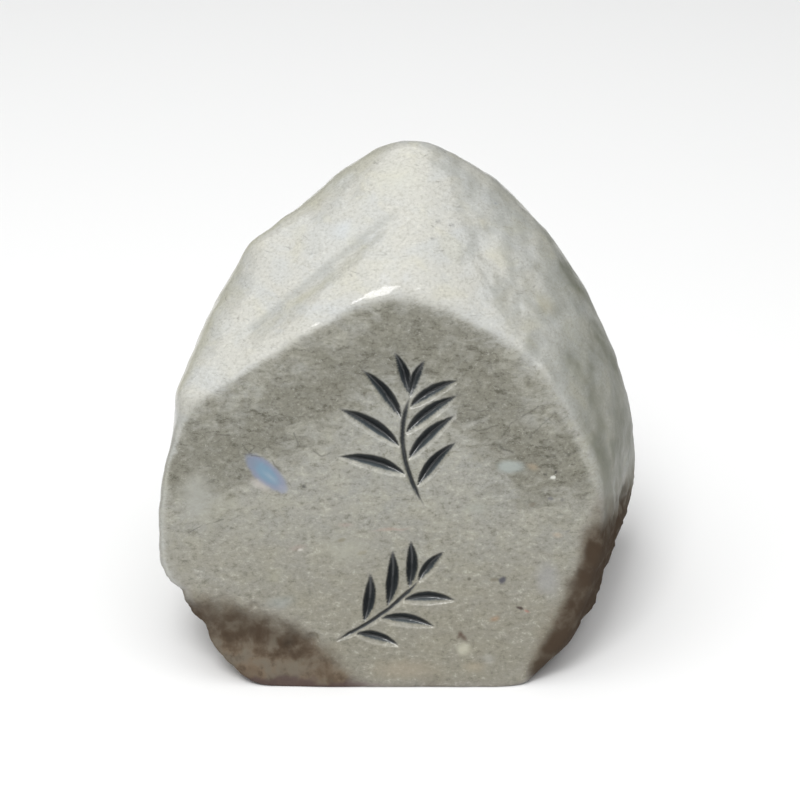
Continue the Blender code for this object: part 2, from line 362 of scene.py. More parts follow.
# Marks in the front: across and up the face, half length, half height, turn from level in
# degrees, colour, how strong it is, and how soft its edge is
FRONT_MARKS = {
    "blue inclusion": (-0.0271, 0.0448, 0.0060, 0.0027, -42, tint(128, 136, 158), 0.85, 0.35),
    "its blue middle": (-0.0272, 0.0449, 0.0046, 0.0019, -42, tint(112, 144, 164), 0.85, 0.60),
    "its lilac head": (-0.0300, 0.0470, 0.0022, 0.0015, -40, tint(122, 132, 148), 0.75, 0.9),
    "pale streak in it": (-0.0262, 0.0440, 0.0030, 0.0008, -40, tint(146, 160, 172), 0.6, 1.0),
    "its pale end": (-0.0284, 0.0424, 0.0034, 0.0013, -30, tint(182, 176, 170), 0.75, 0.9),
    "lilac tip": (-0.0238, 0.0416, 0.0016, 0.0012, -50, tint(146, 150, 164), 0.7, 0.8),
    "pale blue patch": (0.0224, 0.0461, 0.0035, 0.0018, 0, tint(166, 174, 170), 0.75, 0.60),
    "pale patch": (0.0154, 0.0376, 0.0036, 0.0018, 4, tint(166, 168, 158), 0.45, 0.9),
    "lilac patch": (0.0300, 0.0230, 0.0034, 0.0050, 0, tint(156, 156, 156), 0.6, 0.8),
    "blue-grey patch": (-0.0245, 0.0178, 0.0046, 0.0022, 15, tint(148, 152, 148), 0.6, 0.9),
    "smooth pale patch": (-0.0110, 0.0290, 0.0070, 0.0045, 0, tint(164, 163, 150), 0.6, 0.9),
    "grey shoulder patch": (-0.0410, 0.0400, 0.0060, 0.0080, 0, tint(166, 166, 158), 0.7, 1.0),
    "tan patch": (0.0268, 0.0461, 0.0017, 0.0011, -20, tint(168, 150, 124), 0.45, 0.9),
    # A painted highlight and painted shade standing in for a small pit
    "painted glint in a pit": (0.0308, 0.0440, 0.0006, 0.0005, 0, tint(222, 222, 214), 0.9, 0.5),
    "painted shade in a pit": (0.0313, 0.0450, 0.0005, 0.0004, 0, tint(52, 52, 48), 0.9, 0.6),
    "painted shade in a pit beside it": (0.0293, 0.0447, 0.0006, 0.0003, 30, tint(70, 70, 64), 0.8, 0.6),
    "grey spot": (0.0304, 0.0395, 0.0008, 0.0005, 0, tint(104, 104, 108), 0.7, 0.6),
    "brown spot": (0.0268, 0.0383, 0.0010, 0.0006, 10, tint(118, 112, 98), 0.7, 0.7),
    "small spot": (0.0328, 0.0395, 0.0004, 0.0006, 0, tint(110, 108, 104), 0.7, 0.7),
    "low spots": (0.0325, 0.0362, 0.0016, 0.0003, 4, tint(116, 116, 108), 0.6, 0.8),
    "lower spot": (0.0341, 0.0330, 0.0008, 0.0003, 15, tint(110, 108, 112), 0.6, 0.8),
    "orange smudge": (0.0318, 0.0322, 0.0016, 0.0008, -10, tint(172, 152, 130), 0.45, 0.9),
    "slate spot": (0.0208, 0.0225, 0.0011, 0.0009, 20, tint(66, 66, 78), 0.85, 0.6),
    "halo of the slate spot": (0.0192, 0.0227, 0.0013, 0.0008, 0, tint(112, 106, 88), 0.7, 0.8),
    "dark dot": (0.0141, 0.0229, 0.0006, 0.0005, 0, tint(88, 84, 72), 0.8, 0.6),
    "red-brown speck": (0.0245, 0.0168, 0.0011, 0.0004, -20, tint(58, 40, 36), 0.9, 0.6),
    "red end of the speck": (0.0259, 0.0163, 0.0008, 0.0004, -10, tint(172, 112, 98), 0.6, 0.8),
    "rusty specks": (0.0193, 0.0147, 0.0016, 0.0009, 20, tint(150, 118, 88), 0.6, 0.9),
    "brown smudge": (0.0128, 0.0109, 0.0019, 0.0009, -40, tint(84, 66, 54), 0.85, 0.9),
    "its other arm": (0.0122, 0.0112, 0.0014, 0.0006, 50, tint(84, 66, 54), 0.7, 0.9),
    "cream patch": (0.0130, 0.0083, 0.0020, 0.0019, 0, tint(192, 189, 170), 0.75, 0.8),
    "peach patch": (0.0152, 0.0045, 0.0036, 0.0018, 0, tint(172, 158, 134), 0.40, 1.0),
    "rosy foot": (0.0010, 0.0040, 0.0100, 0.0030, 0, tint(160, 148, 128), 0.5, 0.9),
    "round grey patch": (0.0180, 0.0062, 0.0017, 0.0015, 0, tint(160, 158, 150), 0.6, 0.8),
    "pink vein": (-0.0016, 0.0332, 0.0056, 0.0005, 3, tint(168, 146, 134), 0.50, 0.9),
    "left pink vein": (-0.0110, 0.0343, 0.0022, 0.0006, -3, tint(168, 150, 142), 0.40, 0.9),
    "pinkish patch": (-0.0208, 0.0294, 0.0028, 0.0009, 12, tint(170, 152, 144), 0.40, 1.0),
    "white crumb": (-0.0203, 0.0290, 0.0007, 0.0004, 10, tint(208, 204, 196), 0.7, 0.7),
    "grey-blue spot": (-0.0194, 0.0422, 0.0006, 0.0005, 0, tint(78, 78, 74), 0.8, 0.6),
    "brown oval": (-0.0119, 0.0310, 0.0011, 0.0005, 20, tint(132, 128, 110), 0.8, 0.5),
    "second brown oval": (-0.0077, 0.0284, 0.0012, 0.0005, 8, tint(140, 136, 118), 0.7, 0.5),
    "yellow blotch on the left": (-0.0360, 0.0380, 0.0060, 0.0035, 30, tint(168, 166, 148), 0.35, 1.0),
    "yellow blotch low on the left": (-0.0255, 0.0235, 0.0034, 0.0022, 40, tint(166, 164, 144), 0.40, 1.0),
    "chipped bottom edge": (-0.0150, 0.0004, 0.0170, 0.0012, 0, tint(112, 98, 98), 0.6, 0.6),
}

# Fine dark cracks in the front: points across and up the face, and half of the width
CRACKS = {
    "left hairline": (((-0.0430, 0.0325), (-0.0404, 0.0339), (-0.0359, 0.0352)), 0.00013),
    "above the inclusion": (((-0.0318, 0.0508), (-0.0303, 0.0490), (-0.0288, 0.0508)), 0.00013),
    "along the inclusion": (
        ((-0.0300, 0.0484), (-0.0262, 0.0480), (-0.0240, 0.0450), (-0.0222, 0.0424)), 0.00013,
    ),
    "left ledge": (((-0.0284, 0.0512), (-0.0264, 0.0516), (-0.0246, 0.0512)), 0.00015),
    "far left ledge": (((-0.0373, 0.0528), (-0.0345, 0.0524)), 0.00013),
    "curved ledge": (
        ((-0.0213, 0.0530), (-0.0206, 0.0505), (-0.0182, 0.0500), (-0.0158, 0.0481), (-0.0137, 0.0491)),
        0.00014,
    ),
    "brown level crack": (((0.0285, 0.0484), (0.0312, 0.0482), (0.0335, 0.0487), (0.0384, 0.0498)), 0.00013),
    "spot in the level crack": (((0.0331, 0.0486), (0.0341, 0.0487)), 0.00034),
    "long right crack": (((0.0257, 0.0500), (0.0268, 0.0528), (0.0290, 0.0548), (0.0316, 0.0575)), 0.00012),
    "upper right crack": (((0.0206, 0.0524), (0.0224, 0.0551), (0.0248, 0.0563), (0.0280, 0.0585)), 0.00012),
    "right of the sprig": (((0.0110, 0.0555), (0.0155, 0.0534), (0.0197, 0.0547)), 0.00013),
    "dark chip": (((0.0202, 0.0504), (0.0214, 0.0494), (0.0228, 0.0490)), 0.00020),
    "second right ledge": (((0.0120, 0.0580), (0.0160, 0.0574), (0.0190, 0.0584)), 0.00012),
}

# Their colour and strength, in how many half widths they fade in, and the finest trace
CRACK_COLOUR = tint(56, 54, 46)
CRACK_STRENGTH = 0.42
CRACK_FADE = (1.6, 0.4)
CRACK_SHOWN = 0.01

# The gaps in the cracks: their size, where they are taken from the noise, and between
# which of its values a crack comes back
CRACK_GAPS = 0.0028
GAP_SHIFT = 43.0
GAP_EDGE = (-0.35, 0.15)

# How far inside and outside its oval a mark's edge takes finer mesh edges
MARK_EDGE = (0.8, 1.2)

# Marks on the roofs: middle measured from CORE, reach along x, y and z, colour, how
# strong it is and how soft its edge is
ROOF_MARKS = {
    "bluish patch": ((-0.0116, 0.0067, 0.0366), (0.0040, 0.0040, 0.0030), tint(190, 197, 204), 0.4, 1.0),
    "yellow crown": ((-0.0008, 0.0134, 0.0449), (0.0080, 0.0070, 0.0040), tint(188, 187, 170), 0.4, 1.0),
    "yellow rim": ((-0.0020, -0.0050, 0.0335), (0.0090, 0.0040, 0.0030), tint(188, 187, 172), 0.3, 1.0),
    "right yellow blotch": ((0.0200, 0.0040, 0.0320), (0.0055, 0.0050, 0.0040), tint(182, 179, 162), 0.35, 1),
    "ochre crumbs": ((0.0300, -0.0020, 0.0235), (0.0040, 0.0040, 0.0032), tint(172, 166, 142), 0.4, 1.0),
    "right dash": ((0.0107, 0.0046, 0.0381), (0.0011, 0.0010, 0.0003), tint(104, 104, 100), 0.8, 0.7),
    "left dash": ((0.0080, 0.0044, 0.0391), (0.0009, 0.0010, 0.0003), tint(112, 112, 108), 0.7, 0.7),
    "low dash": ((0.0063, 0.0001, 0.0370), (0.0010, 0.0010, 0.0003), tint(108, 108, 104), 0.7, 0.7),
    "wavy line": ((0.0035, -0.0014, 0.0361), (0.0032, 0.0016, 0.0003), tint(126, 126, 120), 0.7, 0.8),
    "high dash": ((0.0198, 0.0162, 0.0382), (0.0014, 0.0010, 0.0003), tint(112, 116, 124), 0.8, 0.8),
    "rim spot": ((0.0239, -0.0030, 0.0263), (0.0008, 0.0010, 0.0007), tint(92, 90, 82), 0.8, 0.7),
    "lower rim spot": ((0.0250, -0.0078, 0.0230), (0.0007, 0.0010, 0.0005), tint(96, 96, 92), 0.8, 0.7),
    "band spot": ((0.0345, 0.0017, 0.0209), (0.0005, 0.0012, 0.0011), tint(66, 68, 64), 0.8, 0.7),
    "left dot": ((-0.0071, -0.0036, 0.0315), (0.0004, 0.0008, 0.0004), tint(92, 94, 92), 0.8, 0.6),
    "left speck": ((-0.0193, -0.0005, 0.0287), (0.0004, 0.0006, 0.0007), tint(128, 130, 130), 0.8, 0.7),
    "second left speck": ((-0.0182, 0.0040, 0.0321), (0.0007, 0.0006, 0.0004), tint(128, 130, 130), 0.8, 0.7),
    "lip speck": ((-0.0122, -0.0065, 0.0277), (0.0009, 0.0008, 0.0004), tint(116, 114, 108), 0.7, 0.7),
}

FLOOR_COLOUR = tint(236, 236, 236)
FLOOR_ROUGHNESS = 0.9
FLOOR_SHINE = 0.1

# Lamps: azimuth from the front towards the right, elevation, distance, size, power, colour
LAMPS = {
    "overhead_box": (-35, 84, 1.00, (2.4, 2.2), 23.0, (1.0, 1.0, 0.99)),
    "glint_lamp": (-21, 60, 0.70, (0.24, 0.26), 1.9, (1.0, 1.0, 1.0)),
}
SURROUND_COLOUR = (0.95, 0.97, 1.0, 1)
SURROUND_STRENGTH = 0.18
FLOOR_SIDE = 6.0


def facing(azimuth, elevation):
    """The outward direction of a face."""
    a = math.radians(azimuth)
    e = math.radians(elevation)
    return np.array((math.sin(a) * math.cos(e), -math.cos(a) * math.cos(e), math.sin(e)))


def closeness(directions, azimuth, elevation, distance):
    """One over the way to a face along each direction, or 0 where it faces away."""
    return np.maximum(directions @ facing(azimuth, elevation) / distance, 0)


def distance_to_segment(points, start, end):
    start = np.array(start, dtype=float)
    along = np.array(end, dtype=float) - start
    share = np.clip((points - start) @ along / (along @ along), 0, 1)
    return np.linalg.norm(points - start - share[:, None] * along, axis=1)


def smooth_step(low, high, values):
    """0 below low, 1 above high, and a smooth rise between."""
    share = np.clip((values - low) / (high - low), 0, 1)
    return share * share * (3 - 2 * share)


def fractal(points, size, octaves=3, shift=0.0):
    """Fractal noise, about -1 to 1, whose largest knobs are about the given size."""
    scaled = points / size + shift
    return np.array([noise.fractal(Vector(point), 1.0, 2.0, octaves) for point in scaled])


def worn_block(directions):
    """Points from CORE on the rounded block, and the front's share of each."""
    worn = sum(closeness(directions, *face) ** EDGE_KEENNESS for face in WORN_FACES.values())
    sides = worn ** (RIM_KEENNESS / EDGE_KEENNESS)
    front = closeness(directions, 0, FRONT_LEAN, FRONT_DISTANCE) ** RIM_KEENNESS
    reach = (sides + front) ** (-1 / RIM_KEENNESS)
    return directions * reach[:, None], front / (front + sides)


def cut_flat(points, directions):
    """The points drawn in to the flat base, with a slightly worn edge, and the base's share of each."""
    above = np.linalg.norm(points, axis=1) ** -BASE_KEENNESS
    base = closeness(directions, 0, -90, CORE[2]) ** BASE_KEENNESS
    reach = (above + base) ** (-1 / BASE_KEENNESS)
    return directions * reach[:, None], base / (above + base)


def hollow_depth(points):
    """How far the hollows sink the surface at each point, less the lumps."""
    depth = np.zeros(len(points))
    for start, end, spread, deepest in HOLLOWS.values():
        depth += deepest * np.exp(-(distance_to_segment(points, start, end) / spread) ** 2)
    return depth


def roughness_height(points):
    """The height of the knobs and dips at each point."""
    height = np.full(len(points), WORN_ROUGHNESS)
    for middle, spread, rise in ROUGH_PATCHES.values():
        height += rise * np.exp(-(np.linalg.norm(points - middle, axis=1) / spread) ** 2)
    return height


def front_axes():
    """The foot of the front face under CORE, and its directions across, up and out."""
    out = facing(0, FRONT_LEAN)
    foot_y = CORE[1] + (FRONT_DISTANCE + CORE[2] * out[2]) / out[1]
    across = np.array((1.0, 0, 0))
    return np.array((CORE[0], foot_y, 0)), across, np.cross(out, across), out


def on_face(points):
    """Each point's distances across and up the front face."""
    foot, across, up, _ = front_axes()
    return np.stack(((points - foot) @ across, (points - foot) @ up), axis=1)


def curve_point(ends, share):
    """A point on the curve that starts at the first point, bends by the second and ends at the third."""
    start, middle, end = (Vector(point) for point in ends)
    return start * (1 - share) ** 2 + middle * 2 * share * (1 - share) + end * share ** 2


def stem_cut(stem):
    """The middle line and half-widths of a stem, narrower at both ends."""
    shares = [step / STATIONS for step in range(STATIONS + 1)]
    line = [curve_point(stem, share) for share in shares]
    fullness = [min(1, STEM_END_SHARE + STEM_FLARE * min(share, 1 - share)) for share in shares]
    return line, [STEM_WIDTH / 2 * full for full in fullness]


def leaf_cut(base, heading, length, side):
    """The middle line and half-widths of a pointed leaf that starts at base."""
    along = Vector((math.cos(heading), math.sin(heading)))
    aside = Vector((-along.y, along.x)) * side
    widest = LEAF_WIDTH * (length / LEAF_FULL_LENGTH) ** LEAF_WIDENING
    line = []
    halves = []
    for step in range(STATIONS + 1):
        share = step / STATIONS
        bow = 4 * LEAF_BEND * length * share * (1 - share)
        line.append(base + along * length * share + aside * bow)
        halves.append(widest / 2 * max(math.sin(math.pi * share ** LEAF_FULLNESS), 0) ** LEAF_FULLNESS)
    return line, halves


def sprig_cuts(sprig):
    """Every cut of a sprig: its stem, its side leaves and the leaf at its tip."""
    stem = sprig["stem"]
    yield stem_cut(stem)
    for share, side, angle, length in sprig["leaves"]:
        ahead = curve_point(stem, share + NEARBY) - curve_point(stem, share - NEARBY)
        heading = math.atan2(ahead.y, ahead.x) - side * math.radians(angle)
        start = Vector((math.cos(heading), math.sin(heading))) * LEAF_SETBACK
        yield leaf_cut(curve_point(stem, share) + start, heading, length, side)
    ahead = curve_point(stem, 1) - curve_point(stem, 1 - NEARBY)
    yield leaf_cut(curve_point(stem, TIP_START), math.atan2(ahead.y, ahead.x), sprig["tip"], 1)


def engraving(places):
    """How far each place on the face is inside the nearest cut's edge, and on which of its
    walls: from -1, the upper, to 1, the lower."""
    inside = np.full(len(places), -1.0)
    wall = np.zeros(len(places))
    for sprig in SPRIGS.values():
        for line, halves in sprig_cuts(sprig):
            middle = np.array(line[len(line) // 2])
            near = np.nonzero(np.linalg.norm(places - middle, axis=1) < CUT_REACH)[0]
            for start, end, first, last in zip(line, line[1:], halves, halves[1:]):
                along = np.array(end - start)
                share = np.clip((places[near] - start) @ along / (along @ along), 0, 1)
                aside = places[near] - start - share[:, None] * along
                half = first + (last - first) * share
                here = half - np.sqrt((aside ** 2).sum(axis=1) + KEEL_WEAR ** 2)
                better = here > inside[near]
                inside[near[better]] = here[better]
                wall[near[better]] = (-aside[:, 1] / (half + KEEL_WEAR))[better]
    return inside, np.clip(wall, -1, 1)


def cut_depth(inside):
    """The depth of a cut for a distance inside its edge, with the edge worn round."""
    return CUT_SLOPE * (inside + np.sqrt(inside ** 2 + RIM_WEAR ** 2)) / 2


def wavered(points, places, length, reach, shifts):
    """The places moved about a little, so that what is drawn there gets an uneven edge."""
    return places + reach * np.stack([fractal(points, length, 2, shift) for shift in shifts], axis=1)


def oval_distance(places, middle, reach, turn):
    """How far out each place is in a turned oval: 0 in its middle and 1 on its edge."""
    away = places - middle
    along = away[:, 0] * math.cos(turn) + away[:, 1] * math.sin(turn)
    aside = away[:, 1] * math.cos(turn) - away[:, 0] * math.sin(turn)
    return np.hypot(along / reach[0], aside / reach[1])


def crack_share(places):
    """How strongly a crack shows at each place."""
    share = np.zeros(len(places))
    for line, half_width in CRACKS.values():
        share = np.maximum(share, smooth_step(*CRACK_FADE, distance_to_line(places, line) / half_width))
    return share


def mark_limits(places, limit):
    """The longest edges that still show the front's marks and cracks."""
    inner, outer = MARK_EDGE
    for across, up, length, height, turn, _, _, softness in FRONT_MARKS.values():
        out = oval_distance(places, (across, up), (length, height), math.radians(turn))
        finest = max(EDGE_LIMITS["mark"], softness * height / 2)
        limit = np.where((out < outer) & (out > inner - softness), np.minimum(limit, finest), limit)
    return np.where(crack_share(places) > CRACK_SHOWN, EDGE_LIMITS["crack"], limit)


def edge_limits(directions):
    """How long the mesh's edges may be at each place."""
    block, front = worn_block(directions)
    points, base = cut_flat(block, directions)
    limit = np.full(len(points), EDGE_LIMITS["rest"])
    limit[points @ facing(0, CAMERA_ELEVATION) > SEEN_FROM] = EDGE_LIMITS["roof"]
    limit[front > NEAR_FRONT] = EDGE_LIMITS["front"]
    limit[base > ON_BASE] = EDGE_LIMITS["base"]
    carved = np.nonzero((front > ON_FRONT) & (base < NEAR_BASE))[0]
    places = on_face(points[carved] + CORE)
    limit[carved] = mark_limits(places, limit[carved])
    inside, _ = engraving(places)
    cut = carved[inside > -CUT_MARGIN]
    limit[cut] = np.minimum(limit[cut], EDGE_LIMITS["cut"])
    limit[carved[abs(inside) < RIM_BAND]] = EDGE_LIMITS["rim"]
    return limit


def split_long_edges(directions, triangles):
    """Halves each edge that is too long. A triangle is always split across its longest edge
    first, which keeps its shape even."""
    following = np.roll(triangles, -1, axis=1)
    pairs = np.sort(np.stack((triangles, following), axis=2), axis=2).reshape(-1, 2)
    keys, edges = np.unique(pairs[:, 0] * len(directions) + pairs[:, 1], return_inverse=True)
    edges = edges.reshape(-1, 3)
    first = keys // len(directions)
    last = keys % len(directions)
    points = worn_block(directions)[0]
    lengths = np.linalg.norm(points[first] - points[last], axis=1)
    middles = directions[first] + directions[last]
    middles /= np.linalg.norm(middles, axis=1)[:, None]
    split = lengths > edge_limits(middles)
    place = lengths[edges].argmax(axis=1)
    longest = edges[np.arange(len(edges)), place]
    more = longest[split[edges].any(axis=1) & ~split[longest]]
    while len(more):
        split[more] = True
        more = longest[split[edges].any(axis=1) & ~split[longest]]
    added = np.full(len(keys), -1)
    added[split] = len(directions) + np.arange(split.sum())
    turn = (place[:, None] + np.arange(3)) % 3
    a, b, c = np.take_along_axis(triangles, turn, axis=1).T
    ab, bc, ca = added[np.take_along_axis(edges, turn, axis=1)].T
    parts = [np.stack((a, b, c), axis=1)[ab < 0]]
    for start, end, between in ((c, a, ca), (b, c, bc)):
        whole = (ab >= 0) & (between < 0)
        halved = (ab >= 0) & (between >= 0)
        parts.append(np.stack((start, end, ab), axis=1)[whole])
        parts.append(np.stack((start, between, ab), axis=1)[halved])
        parts.append(np.stack((between, end, ab), axis=1)[halved])
    return np.concatenate((directions, middles[split])), np.concatenate(parts)


def fine_sphere():
    """Directions from CORE, and triangles between them that are fine enough for the shape everywhere."""
    form = bmesh.new()
    bmesh.ops.create_icosphere(form, subdivisions=COARSE_SPHERE, radius=1)
    directions = np.array([vertex.co.normalized() for vertex in form.verts])
    triangles = np.array([[vertex.index for vertex in face.verts] for face in form.faces])
    form.free()
    for _ in range(REFINING_ROUNDS):
        directions, triangles = split_long_edges(directions, triangles)
    return directions, triangles


def relief(points, kind):
    """The height of one kind of small relief at each point."""
    size, height, octaves, shift = RELIEF[kind]
    return height * fractal(points, size, octaves, shift)


def face_relief(places):
    """The depth of the pits at each place on the front."""
    depth = np.zeros(len(places))
    for across, up, radius, deepest in PITS.values():
        away = np.linalg.norm(places - (across, up), axis=1)
        depth += deepest * np.exp(-(away / radius) ** 4)
    return depth


def lay(paint, share, colour):
    """Lays a colour over the paint, which holds red, green and blue times the cover, and the cover."""
    paint *= (1 - share)[:, None]
    paint += share[:, None] * np.array(colour)


def stains(points, front):
    """The paint of every mark at each point, to be laid over the stone's own colour."""
    paint = np.zeros((len(points), 4))
    places = wavered(points, on_face(points + CORE), *MARK_WAVER)
    shown = smooth_step(*SHOWN_FRONT, front)
    for across, up, length, height, turn, colour, strength, softness in FRONT_MARKS.values():
        out = oval_distance(places, (across, up), (length, height), math.radians(turn))
        lay(paint, shown * strength * smooth_step(1, 1 - softness, out), colour)
    gaps = smooth_step(*GAP_EDGE, fractal(points, CRACK_GAPS, 2, GAP_SHIFT))
    lay(paint, shown * gaps * CRACK_STRENGTH * crack_share(places), CRACK_COLOUR)
    for middle, reach, colour, strength, softness in ROOF_MARKS.values():
        out = np.linalg.norm((points - middle) / reach, axis=1)
        lay(paint, strength * smooth_step(1, 1 - softness, out), colour)
    return paint


def distance_to_line(places, line):
    """How far each place is from a line through the given points."""
    return np.min([distance_to_segment(places, *ends) for ends in zip(line, line[1:])], axis=0)


def brown_skin(places):
    """Where the brown skin is left, from 0 to 1, and how dark it is: partly its own dark brown, partly
    painted shade.
    """
    edge = np.array(BROWN_CORNER)
    below = np.interp(places[:, 0], edge[:, 0], edge[:, 1]) - places[:, 1]
    corner = smooth_step(*CORNER_FADE, below)
    edge = np.array(BROWN_FLANK)
    beyond = places[:, 0] - np.interp(places[:, 1], edge[:, 1], edge[:, 0])
    flank = smooth_step(*FLANK_FADE, beyond) * smooth_step(*FLANK_TOP, places[:, 1])
    flank *= smooth_step(*FLANK_INNER_END, places[:, 0])
    # Painted shade, with the crust's own darker brown, in a band under the corner's upper edge
    dark = corner * smooth_step(SKIN_SHADE_BAND, 0, below) * smooth_step(*SKIN_SHADE_FADE, places[:, 0])
    return np.maximum(corner, flank), np.maximum(dark, FLANK_SHADE * flank)


def masks(points, front):
    """Where the stone is crumbled, broken or brown, how dark its brown is (partly painted shade), how far it
    is on the front's side of the rim, where the painted shade in its crease runs, and how far up the face it
    is."""
    places = on_face(points + CORE)
    start, end = CRUMBLED_BAND
    under_rim = distance_to_line(places, RIM)
    crumbled = smooth_step(*SHOWN_FRONT, front) * smooth_step(end, start, under_rim)
    crumbled *= 1 - POLISH * smooth_step(start, 0, under_rim)
    broken = np.zeros(len(points))
    for middle, spread, _ in ROUGH_PATCHES.values():
        broken = np.maximum(broken, np.exp(-(np.linalg.norm(points - middle, axis=1) / spread) ** 2))
    softer = smooth_step(*SOFT_RIM, places[:, 0])
    low = KEEN_BORDER[0] + (SOFT_BORDER[0] - KEEN_BORDER[0]) * softer
    high = KEEN_BORDER[1] + (SOFT_BORDER[1] - KEEN_BORDER[1]) * softer
    skin, dark = brown_skin(places)
    start, end, _, _ = HOLLOWS["valley in the left roof"]
    # Painted shade along the valley's crease
    valley_shade = np.exp(-(distance_to_segment(points, start, end) / VALLEY_SHADE_WIDTH) ** 2)
    return {
        "crumbled": crumbled,
        "broken": broken,
        "brown_skin": skin,
        "skin_shade": dark,
        "front": (front - low) / (high - low),
        "valley_shade": valley_shade,
        "height": places[:, 1],
    }


def stone_surface(directions):
    """Points of the stone's surface, and what the material needs to know about each."""
    block, front = worn_block(directions)
    points = block - directions * hollow_depth(block)[:, None]
    rise = roughness_height(points) * fractal(points, GRAIN_SIZE)
    shown = masks(points, front)
    rise += relief(points, "waves")
    rise += shown["crumbled"] * relief(points, "crumbs")
    rise += shown["broken"] * relief(points, "fracture")
    points, _ = cut_flat(points + directions * rise[:, None], directions)
    _, _, _, out = front_axes()
    carved = np.nonzero(front > CARVED_FROM)[0]
    places = on_face(points[carved] + CORE)
    inside, wall = engraving(wavered(points[carved], places, *BURR_WANDER))
    points[carved] -= out * (cut_depth(inside) + face_relief(places))[:, None]
    ink_from = INK_EDGE[0] + (INK_EDGE[1] - INK_EDGE[0]) * smooth_step(*INK_TURN, wall)
    shown["ink"] = np.zeros(len(points))
    shown["ink"][carved] = smooth_step(ink_from, ink_from + INK_FADE, inside)
    shown["lower_wall"] = np.zeros(len(points))
    shown["lower_wall"][carved] = smooth_step(*LOWER_WALL, wall) * (inside > 0)
    return points + CORE, shown, stains(block, front)


def stone_piece():
    """The stone as one fine closed mesh, with its masks kept on its points."""
    directions, triangles = fine_sphere()
    points, shown, paint = stone_surface(directions)
    mesh = bpy.data.meshes.new("varnished_stone")
    mesh.from_pydata(points.tolist(), [], triangles.tolist())
    for name, values in shown.items():
        kept = mesh.attributes.new(name, "FLOAT", "POINT")
        kept.data.foreach_set("value", values.astype(np.float32))
    kept = mesh.attributes.new("stains", "FLOAT_COLOR", "POINT")
    kept.data.foreach_set("color", paint.astype(np.float32).ravel())
    mesh.shade_smooth()
    mesh.materials.append(stone_material())
    stone = bpy.data.objects.new("varnished_stone", mesh)
    bpy.context.scene.collection.objects.link(stone)
    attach(stone, "root")
    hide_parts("stone")
    return stone


class Finish:
    """A material whose nodes are added and joined one after another."""

    def __init__(self, name):
        self.material = bpy.data.materials.new(name)
        self.material.use_nodes = True
        self.nodes = self.material.node_tree.nodes
        self.shader = self.nodes["Principled BSDF"]
        self.places = {}

    def put(self, node, socket, value):
        """Joins another node's output to a socket, or sets a plain value there."""
        if isinstance(value, bpy.types.NodeSocket):
            self.material.node_tree.links.new(value, node.inputs[socket])
        else:
            node.inputs[socket].default_value = value

    def attribute(self, name, output="Fac"):
        node = self.nodes.new("ShaderNodeAttribute")
        node.attribute_name = name
        return node.outputs[output]

    def place(self, flatness):
        """The point on the object, pressed flat so that a texture there lies level."""
        if flatness not in self.places:
            mapping = self.nodes.new("ShaderNodeMapping")
            self.put(mapping, "Vector", self.nodes.new("ShaderNodeTexCoord").outputs["Object"])
            self.put(mapping, "Scale", (1, 1, flatness))
            self.places[flatness] = mapping.outputs["Vector"]
        return self.places[flatness]

    def pattern(self, name):
        """One of the cloudy patterns in the stone."""
        size, flatness, detail, distortion, roughness = PATTERNS[name]
        node = self.nodes.new("ShaderNodeTexNoise")
        self.put(node, "Vector", self.place(flatness))
        self.put(node, "Scale", 1 / size)
        self.put(node, "Detail", detail)
        self.put(node, "Roughness", roughness)
        self.put(node, "Distortion", distortion)
        return node.outputs["Fac"]

    def wavered(self, value, pattern, reach):
        """A value moved up and down by a pattern, as far as the given reach."""
        return self.math("ADD", value, self.between(pattern, *MIDDLE_OF_NOISE, -reach, reach))

    def facing(self, direction):
        """How far the surface faces a direction, from -1 to 1."""
        node = self.nodes.new("ShaderNodeVectorMath")
        node.operation = "DOT_PRODUCT"
        self.put(node, 0, self.nodes.new("ShaderNodeTexCoord").outputs["Normal"])
        self.put(node, 1, tuple(Vector(direction).normalized()))
        return node.outputs["Value"]

    def between(self, value, low, high, to_low=0.0, to_high=1.0):
        """A smooth rise from to_low to to_high as a value goes from low to high."""
        node = self.nodes.new("ShaderNodeMapRange")
        node.interpolation_type = "SMOOTHSTEP"
        self.put(node, "Value", value)
        self.put(node, "From Min", low)
        self.put(node, "From Max", high)
        self.put(node, "To Min", to_low)
        self.put(node, "To Max", to_high)
        return node.outputs["Result"]

    def fade(self, value, name):
        """How much of something shows where a pattern or a mask has the given value."""
        return self.between(value, *FADES[name])

    def within(self, mask, share):
        """A share where the mask is full, less of it where the mask fades."""
        return self.math("MULTIPLY", mask, share)

    def math(self, operation, first, second):
        node = self.nodes.new("ShaderNodeMath")
        node.operation = operation
        self.put(node, 0, first)
        self.put(node, 1, second)
        return node.outputs["Value"]

    def mix(self, share, first, second, blend="MIX"):
        """The first colour turning into the second as share goes from 0 to 1."""
        node = self.nodes.new("ShaderNodeMix")
        node.data_type = "RGBA"
        node.blend_type = blend
        self.put(node, "Factor", share)
        self.put(node, FIRST_COLOUR, first)
        self.put(node, SECOND_COLOUR, second)
        return node.outputs[MIXED_COLOUR]

    def bump(self, height, depth, strength=1.0):
        node = self.nodes.new("ShaderNodeBump")
        self.put(node, "Height", height)
        self.put(node, "Distance", depth)
        self.put(node, "Strength", strength)
        return node.outputs["Normal"]


def bedded_colour(finish):
    """Grey and buff layers that lie almost level, with yellowish blotches and a blue veil."""
    layers = finish.pattern("bedding")
    colour = finish.mix(finish.fade(layers, "buff layers"), GREY_LAYER, BUFF_LAYER)
    blotches = finish.pattern("blotches")
    colour = finish.mix(finish.fade(blotches, "yellow blotches"), colour, YELLOW_BLOTCH)
    return finish.mix(finish.fade(blotches, "blue veil"), colour, BLUE_VEIL)


